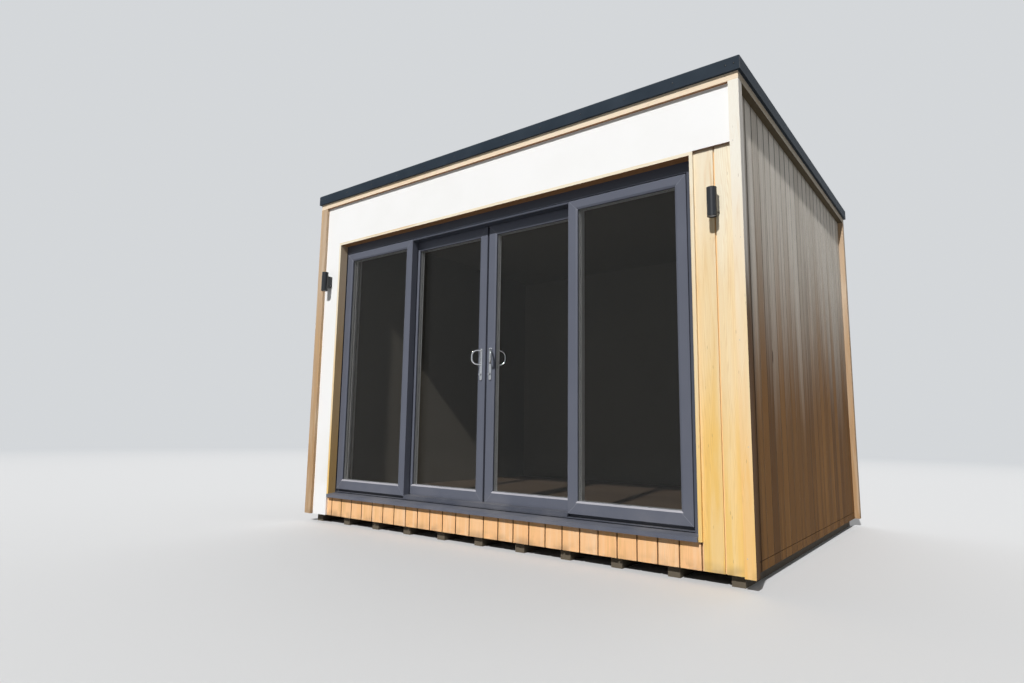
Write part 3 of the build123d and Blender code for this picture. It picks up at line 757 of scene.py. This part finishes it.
# %% Bearers
def treated_timber():
    """The same grain in grey-brown."""
    finish = Finish("treated bearers")
    fibres, lines, knot, _, wander = grain(finish, *(finish.axis(letter) for letter in "XYZ"), 0.0)
    plain = finish.mix(wander, tone(0.10, 0.08, 0.055), tone(0.16, 0.13, 0.09))
    lined = finish.mix(lines * 0.4, plain, tone(0.06, 0.045, 0.03))
    knotted = finish.mix(knot, lined, tone(0.03, 0.02, 0.015))
    normal = finish.bump(fibres, 0.0015, 0.7)
    return finish.done(Base_Color=knotted, Roughness=0.8 + fibres * 0.1, Normal=normal)


dress(treated_timber(), "bearers", "floor_structure")

# %% [markdown]
# ## Surfaces from arrays
# Small parts are worked out as arrays: a grid of rows and columns of points, whose faces join each point
# to its neighbours. Where a row shrinks to one point, its copies are merged, so every shape is closed.
# One function makes the faces, one turns a profile on a lathe, and one puts the mesh into the scene.


# %% Grids to meshes
def grid_faces(rows, columns, rows_closed=False):
    """Quads between neighbours of a grid numbered row by row; each row closes on itself."""
    row = np.arange(rows if rows_closed else rows - 1)
    r, c = np.meshgrid(row, np.arange(columns), indexing="ij")
    r_next, c_next = (r + 1) % rows, (c + 1) % columns
    corners = [(r, c), (r, c_next), (r_next, c_next), (r_next, c)]
    return np.stack([i * columns + j for i, j in corners], axis=-1).reshape(-1, 4)


def lathe(profile, steps=20, unit=1.0):
    """A profile of r and h, in the unit, turned about +Z: x = r cos t, y = r sin t, z = h."""
    radius, height = np.asarray(profile, float).T * unit
    turn = np.linspace(0.0, 2 * math.pi, steps, endpoint=False)
    x = radius[:, None] * np.cos(turn)
    y = radius[:, None] * np.sin(turn)
    z = np.repeat(height[:, None], steps, axis=1)
    return np.stack([x, y, z], axis=-1).reshape(-1, 3), grid_faces(len(radius), steps)


def joined(*shapes):
    """Several shapes as one list of points and faces."""
    counts = np.cumsum([0] + [len(points) for points, faces in shapes])
    points = np.concatenate([points for points, faces in shapes])
    return points, np.concatenate([faces + shift for (p, faces), shift in zip(shapes, counts)])


def copies(shape, places):
    """The same shape at many places; a place is a 4 by 4 matrix."""
    points, faces = shape
    places = np.asarray(places, float)
    turned = np.einsum("kij,nj->kni", places[:, :3, :3], points) + places[:, None, :3, 3]
    shifts = np.arange(len(places))[:, None, None] * len(points)
    return turned.reshape(-1, 3), (faces[None] + shifts).reshape(-1, faces.shape[1])


def facing(point, outward):
    """A matrix that turns local +Z to the outward direction, keeps +Y up and moves to the point."""
    outward = np.asarray(outward, float)
    side = np.cross((0.0, 0.0, 1.0), outward) if abs(outward[2]) < 0.9 else np.array([1.0, 0.0, 0.0])
    place = np.eye(4)
    place[:3, 0] = side / np.linalg.norm(side)
    place[:3, 1] = np.cross(outward, place[:3, 0])
    place[:3, 2] = outward
    place[:3, 3] = point
    return place


def add_piece(name, shape, material, body, crease=38.0):
    """Makes one closed mesh piece at the origin, smooth but for edges sharper than the crease."""
    mesh = bpy.data.meshes.new(name)
    mesh.from_pydata(shape[0], [], shape[1].tolist())
    merged = bmesh.new()
    merged.from_mesh(mesh)
    bmesh.ops.remove_doubles(merged, verts=merged.verts, dist=2e-6)
    bmesh.ops.recalc_face_normals(merged, faces=merged.faces)
    merged.to_mesh(mesh)
    merged.free()
    mesh.polygons.foreach_set("use_smooth", [True] * len(mesh.polygons))
    mesh.set_sharp_from_angle(angle=math.radians(crease))
    mesh.materials.append(material)
    piece = bpy.data.objects.new(name, mesh)
    bpy.context.scene.collection.objects.link(piece)
    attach(piece, body)
    print(name, "has", len(mesh.polygons), "faces and rides on", body)
    return piece


# %% [markdown]
# ## Pins and nails
# The folded roof edge is held by short pins with domed plastic heads: two beside each corner and one
# about every 310 mm between. A head is a quarter circle turned about its axis: at the angle t its radius
# is R cos t and its height H sin t. At the front they are pieces. At the sides and the rear they would
# stand outside the box of the solids, so there the coat draws them at the same distances. The posts show
# a few flat nail heads, about 545 mm apart.


# %% Roof edge pins
def domed_head(radius, height, rings=5, steps=12):
    """Radius R cos t and height H sin t for t from 0 to a quarter turn, on a flat back."""
    t = np.linspace(0.0, math.pi / 2, rings)
    rim = np.stack([radius * np.cos(t), height * np.sin(t)], axis=-1)
    return lathe(np.concatenate([[(0.0, 0.0)], rim]), steps)


# The pins stand at set distances from the nearest corner, then one every pitch to the middle.
pin_rise = 0.0028
half_length = (roof_high[X] - roof_low[X]) / 2
from_corner = np.concatenate([corner_pins, np.arange(first_pin, half_length, pin_pitch)])
pin_line = np.concatenate([roof_low[X] + from_corner, roof_high[X] - from_corner])
pin_places = [facing((x, roof_low[Y], pin_height), (0, -1, 0)) for x in pin_line]
pin_tones = (tone(0.004, 0.005, 0.006), tone(0.008, 0.009, 0.010))
pin_coat = speckled("pin heads", *pin_tones, 0.22, 0.002, 0.0001)
pins = copies(domed_head(pin_radius, pin_rise), pin_places)
add_piece("roof_edge_pins", pins, pin_coat, "building")

# %% Post nails
lowest_nail, nail_pitch, nails_per_post = 0.16, 0.545, 5
nail_radius, nail_rise = 0.0023, 0.0006
nail_shifts = (-0.012, 0.011)
nail_places = []
for corner, outward in (("front_right", -1), ("front_left", -1), ("rear_right", 1), ("rear_left", 1)):
    post = "corner_post_" + corner
    for number in range(nails_per_post):
        x = middle(post, X) + nail_shifts[number % 2]
        z = lowest_nail + nail_pitch * number
        nail_places.append(facing((x, edge(post, Y, outward > 0), z), (0, outward, 0)))
nails = copies(domed_head(nail_radius, nail_rise, 3, 10), nail_places)
add_piece("post_nails", nails, steel, "building")

# %% [markdown]
# ## Rubber and spacers round the glass
# A gasket closes the gap between each bead and the glass, and a dull metal bar keeps the two panes of a
# unit apart. Each is a closed section carried round the opening: at each corner it is set in along both
# edges at once, which is a mitre.


# %% Glazing gaskets and spacers
def carried_round(low_x, high_x, low_z, high_z, inward, y):
    """A closed section, set in from the edges by inward at the depth y, carried round a rectangle."""
    corner = np.array([(low_x, low_z), (high_x, low_z), (high_x, high_z), (low_x, high_z)])
    towards = np.array([(1, 1), (-1, 1), (-1, -1), (1, -1)])
    xz = corner[:, None, :] + towards[:, None, :] * np.asarray(inward)[None, :, None]
    depth = np.broadcast_to(y, xz.shape[:2])
    points = np.stack([xz[..., 0], depth, xz[..., 1]], axis=-1)
    return points.reshape(-1, 3), grid_faces(4, len(inward), rows_closed=True)


# A gasket's section is half an ellipse: w (1 - cos t) / 2 inwards and r sin t off the glass.
stile_bite, pane_thickness, bar_chamfer = 0.012, 0.004, 0.001
lip_width, lip_rise = 0.0014, 0.0012
t = np.linspace(0.0, math.pi, 6)
lip_inward, lip_standing = lip_width * (1 - np.cos(t)) / 2, lip_rise * np.sin(t)
bar_section = (0.006, 0.0115, 0.0125, 0.0125, 0.0115, 0.006)
bar_metal = speckled("spacer bar", tone(0.43, 0.44, 0.44), tone(0.52, 0.53, 0.53), 0.45, 0.003, 0.0001)
for pane in ("left_sash", "right_sash", "left_leaf", "right_leaf"):
    body = pane if pane.endswith("leaf") else "building"
    low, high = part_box(pane + "_glass")
    sight = (low[X] + stile_bite, high[X] - stile_bite, low[Z] + stile_bite, high[Z] - stile_bite)
    outer_lip = carried_round(*sight, lip_inward, low[Y] - lip_standing)
    inner_lip = carried_round(*sight, lip_inward, high[Y] + lip_standing)
    add_piece(pane + "_gaskets", joined(outer_lip, inner_lip), rubber, body)
    bar_front, bar_back = low[Y] + pane_thickness, high[Y] - pane_thickness
    depths = (bar_front, bar_front, bar_front + bar_chamfer, bar_back - bar_chamfer, bar_back, bar_back)
    bar = carried_round(low[X], high[X], low[Z], high[Z], bar_section, depths)
    add_piece(pane + "_spacers", bar, bar_metal, body)

# %% [markdown]
# ## Handle sets
# Each leaf has a handle set on both faces: a long slim plate with a domed face, a D grip that leans
# away over the glass, a key cylinder and two screws. The plate is a slot shape that shrinks to its
# middle line while it rises. The grip is a circle carried along a path of straight runs and quarter
# turns. Cylinder, collars and screws are turned on the lathe. The imported handles stay in the scene,
# hidden.


# %% Slot plates and grips
def slot_plate(width, height, rows, steps=9):
    """A plate from rows of (share of the half width, height above the back) about a middle line.

    The outline is two half circles of radius w / 2 about the ends of the line, so a point is the end of
    the line plus the share times w / 2 times (cos a, sin a).
    """
    half = width / 2
    share, rise = np.asarray(rows, float).T
    half_turn = np.linspace(0, math.pi, steps)
    turn = np.concatenate([half_turn, math.pi + half_turn])
    end = np.repeat([height / 2 - half, half - height / 2], steps)
    x = half * share[:, None] * np.cos(turn)
    y = end + half * share[:, None] * np.sin(turn)
    z = np.repeat(rise[:, None], 2 * steps, axis=1)
    return np.stack([x, y, z], axis=-1).reshape(-1, 3), grid_faces(len(share), 2 * steps)


def leaning_grip(reach, top, bottom, bend, radius, lean, arc_steps=10, steps=16):
    """A tube round a D: out along lean at the top, a quarter turn, down, a quarter turn and back.

    Each ring is the path point plus r (cos a, sin a) on the path's own cross direction and the D's
    normal; r swells by a tenth towards the middle of the path.
    """
    a = np.linspace(0, math.pi / 2, arc_steps)
    sine, cosine = np.sin(a), np.cos(a)
    straight = reach - bend
    out = np.concatenate([[0], straight + bend * sine, straight + bend * cosine, [0]])
    up = np.concatenate([[top], top - bend + bend * cosine, bottom + bend - bend * sine, [bottom]])
    cross_out = np.concatenate([[0], sine, cosine, [0]])
    cross_up = np.concatenate([[1], cosine, -sine, [-1]])
    swell = radius * (1 + 0.10 * np.sin(np.linspace(0, math.pi, len(out))) ** 2)
    swell = np.concatenate([[0], swell, [0]])
    out, up, cross_out, cross_up = (
        np.concatenate([v[:1], v, v[-1:]]) for v in (out, up, cross_out, cross_up)
    )
    turn = np.linspace(0, 2 * math.pi, steps, endpoint=False)
    ring = swell[:, None] * np.cos(turn)
    along_lean = out[:, None] + ring * cross_out[:, None]
    height = up[:, None] + ring * cross_up[:, None]
    sideways = swell[:, None] * np.sin(turn)
    lean = np.asarray(lean, float)
    normal = np.cross(lean, (0.0, 0.0, 1.0))
    points = along_lean[..., None] * lean + sideways[..., None] * normal + height[..., None] * (0, 0, 1)
    return points.reshape(-1, 3), grid_faces(len(swell), steps)


# %% Plates, cylinders, collars and screws
plate_width, plate_height, plate_thickness = 0.025, 0.230, 0.009
plate_rows = [
    (0, 0), (1, 0), (1, 0.0052), (0.965, 0.0066), (0.90, 0.0074), (0.78, 0.0080), (0.5, 0.0087),
    (0, plate_thickness),
]
plate = slot_plate(plate_width, plate_height, plate_rows)
# The slits are thin dark sheets just proud of the metal: painted shade in the keyway and the screw slots.
slit_rows = [(0, 0), (1, 0), (1, 0.00012), (0, 0.00012)]
key_slit = slot_plate(0.0016, 0.0086, slit_rows)
screw_slit = slot_plate(0.0009, 0.0042, slit_rows)
millimetre = 0.001
cylinder_profile = [
    (0, 0), (8.5, 0), (8.5, 10.6), (7.9, 11.6), (6.8, 12.0), (6.3, 11.3), (5.8, 11.0), (0, 11.0)
]
cylinder = lathe(cylinder_profile, unit=millimetre)
collar_profile = [(0, -4), (9.2, -4), (9.2, 3.4), (8.6, 4.6), (7.4, 5.2), (6.3, 5.4), (0, 5.4)]
collar = lathe(collar_profile, unit=millimetre)
screw = domed_head(0.0036, 0.0011)
print("a plate of", len(plate[0]), "points and a cylinder of", len(cylinder[0]))


# %% Handle sets
def on_leaf(centre, outward, out, up):
    """The place out from the leaf's face by out, and above the plate's centre by up."""
    return facing(centre + np.array([0.0, outward * out, up]), (0, outward, 0))


grip_out, grip_aside, grip_bend, grip_radius = 0.052, 0.042, 0.040, 0.006
grip_top, grip_bottom, collar_seat = 0.099, -0.001, 0.0075
key_height, key_seat, key_slit_seat = -0.073, 0.00855, 0.01955
screw_heights, screw_seat, screw_slit_seat = (0.049, -0.103), 0.0086, 0.00964
quarter_turn = np.array([(0, -1, 0, 0), (1, 0, 0, 0), (0, 0, 1, 0), (0, 0, 0, 1)])
for leaf, to_glass in (("left_leaf", -1), ("right_leaf", 1)):
    centre_x = edge(leaf + "_handles", X, to_glass < 0) + to_glass * plate_width / 2
    centre_z = edge(leaf + "_handles", Z, True) - plate_height / 2
    metal, slit_shades = [], []
    for outward in (-1, 1):
        face = edge(leaf + "_glass", Y, outward > 0) + outward * profile_cover
        centre = np.array([centre_x, face, centre_z])
        metal.append(copies(plate, [on_leaf(centre, outward, 0.0, 0.0)]))
        lean = np.array([to_glass * grip_aside, outward * grip_out, 0.0])
        reach = np.linalg.norm(lean)
        lean = lean / reach
        root = centre + (0.0, outward * plate_thickness / 2, 0.0)
        grip, faces = leaning_grip(reach, grip_top, grip_bottom, grip_bend, grip_radius, lean)
        metal.append((grip + root, faces))
        for up in (grip_top, grip_bottom):
            metal.append(copies(collar, [facing(root + lean * collar_seat + (0.0, 0.0, up), lean)]))
        metal.append(copies(cylinder, [on_leaf(centre, outward, key_seat, key_height)]))
        slit_shades.append(copies(key_slit, [on_leaf(centre, outward, key_slit_seat, key_height)]))
        for up in screw_heights:
            metal.append(copies(screw, [on_leaf(centre, outward, screw_seat, up)]))
            on_head = on_leaf(centre, outward, screw_slit_seat, up)
            slit_shades.append(copies(screw_slit, [on_head, on_head @ quarter_turn]))
    handle_set = add_piece(leaf + "_handle_set", joined(*metal), chrome, leaf, 32.0)
    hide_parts(leaf + "_handles")
    add_piece(leaf + "_handle_slits", joined(*slit_shades), rubber, leaf)

# %% [markdown]
# ## Lenses of the wall lights
# Each light shines up and down. Inside each end of the tube sits a bright ring with a frosted lens, a
# few millimetres below the rim, and four small screws hold the block, two on each of its sides. All are
# turned shapes.


# %% Lenses and screws
frosted = speckled("frosted lens", tone(0.13, 0.135, 0.14), tone(0.18, 0.185, 0.19), 0.35, 0.003, 0.0003)
ring_tones = (tone(0.26, 0.26, 0.26), tone(0.33, 0.33, 0.33))
ring_metal = speckled("lens ring", *ring_tones, 0.28, 0.003, 0.0001, 1.0)
recess_depth, tube_radius = 0.014, 0.027
screw_aside, screw_from_wall, screw_up = 0.021, 0.014, 0.030
lens_profile = [(0, 0), (19.5, 0), (19.5, 1.2), (17.0, 2.6), (12.0, 3.6), (6.0, 4.2), (0, 4.4)]
lens = lathe(lens_profile, 32, millimetre)
ring_profile = [(19.0, 0), (22.8, 0), (22.8, 8.0), (22.1, 8.6), (21.3, 8.0), (19.4, 2.2), (19.0, 0)]
ring = lathe(ring_profile, 32, millimetre)
lens_places, screw_places = [], []
for light in ("left_wall_light", "right_wall_light"):
    low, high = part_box(light)
    x, y = middle(light, X), low[Y] + tube_radius
    lens_places.append(facing((x, y, low[Z] + recess_depth), (0, 0, -1)))
    lens_places.append(facing((x, y, high[Z] - recess_depth), (0, 0, 1)))
    for side in (-1, 1):
        for up in (-screw_up, screw_up):
            centre = (x + side * screw_aside, high[Y] - screw_from_wall, middle(light, Z) + up)
            screw_places.append(facing(centre, (side, 0, 0)))
light_screw = domed_head(0.0032, 0.0012)
add_piece("light_lenses", copies(lens, lens_places), frosted, "building")
add_piece("light_rings", copies(ring, lens_places), ring_metal, "building")
add_piece("light_screws", copies(light_screw, screw_places), ring_metal, "building")

# %% [markdown]
# ## Studio
# The stage is a pale floor that fades into the background far away. One sun lamp stands high in front
# and a little to the right, and a pale sky fills the shadows. Together they bring the front to about the
# colour that is written in its finish.


# %% Floor
def studio_floor():
    """Pale floor that turns into the background between two squared distances from the middle.

    The eye, gloss and glass see the pale tone. The light that the floor throws up under the roof edge
    and the linings comes from a deeper tone, so that shadows stay as deep as out of doors.
    """
    finish = Finish("studio floor")
    x, y = finish.axis("X"), finish.axis("Y")
    far = (x * x + y * y).rise(*fade_squares)
    finish.done(Base_Color=finish.mix(finish.seen(), floor_bounce_tone, floor_tone), Roughness=0.8)
    glow = finish.node("ShaderNodeEmission", {}, {"Color": background_tone, "Strength": 1.0})
    surface = Wire(finish, finish.shader.outputs[0])
    faded = finish.node("ShaderNodeMixShader", {}, {0: far, 1: surface, 2: glow})
    finish.fill(finish.tree.nodes["Material Output"], {"Surface": faded})
    return finish.material


background_tone = tone(0.66, 0.68, 0.70)
floor_tone = tone(0.70, 0.70, 0.70)
floor_bounce_tone = tone(0.19, 0.19, 0.19)
fade_squares = (60.0, 420.0)
floor_reach = 40.0
floor_mesh = bpy.data.meshes.new("studio_floor")
floor_corners = [(x * floor_reach, y * floor_reach, 0) for x, y in ((-1, -1), (1, -1), (1, 1), (-1, 1))]
floor_mesh.from_pydata(floor_corners, [], [(0, 1, 2, 3)])
floor_mesh.materials.append(studio_floor())
floor = bpy.data.objects.new("studio_floor", floor_mesh)
bpy.context.scene.collection.objects.link(floor)


# %% Sky
def studio_sky(front_level, rear_level):
    """A soft sky: its level towards the front and the rear; the eye sees the background's colour.

    The rear level is for the sides that the sun lamp doesn't reach. It depends on the direction of the
    ray only: the share of the way from the front to the rear and left.
    """
    sky = Finish("studio_sky", bpy.data.worlds, "Background")
    direction = sky.node("ShaderNodeTexCoord", {}, {}, "Generated")
    x, y = (sky.node("ShaderNodeSeparateXYZ", {}, {0: direction}, letter) for letter in "XY")
    rear = (y * 0.92 - x * 0.38).rise(0.0, 0.8)
    lighting = rear * (rear_level - front_level) + front_level
    seen = sky.seen()
    strength = seen + (1.0 - seen) * lighting
    bpy.context.scene.world = sky.done(Color=background_tone, Strength=strength)


studio_sky(front_level=0.13, rear_level=1.6)

# %% Lamp and level
sun_height, sun_side = math.radians(41), math.radians(11)
sun = bpy.data.objects.new("key_lamp", bpy.data.lights.new("key_lamp", "SUN"))
bpy.context.scene.collection.objects.link(sun)
sun.data.energy = 3.5
sun.data.angle = math.radians(1.6)
upright = Matrix.Rotation(math.radians(90) - sun_height, 4, "X")
sun.matrix_world = Matrix.Rotation(sun_side, 4, "Z") @ upright
bpy.context.scene.view_settings.view_transform = "Standard"
print("the lamp shines from", [round(part, 2) for part in sun.matrix_world.col[2][:3]])
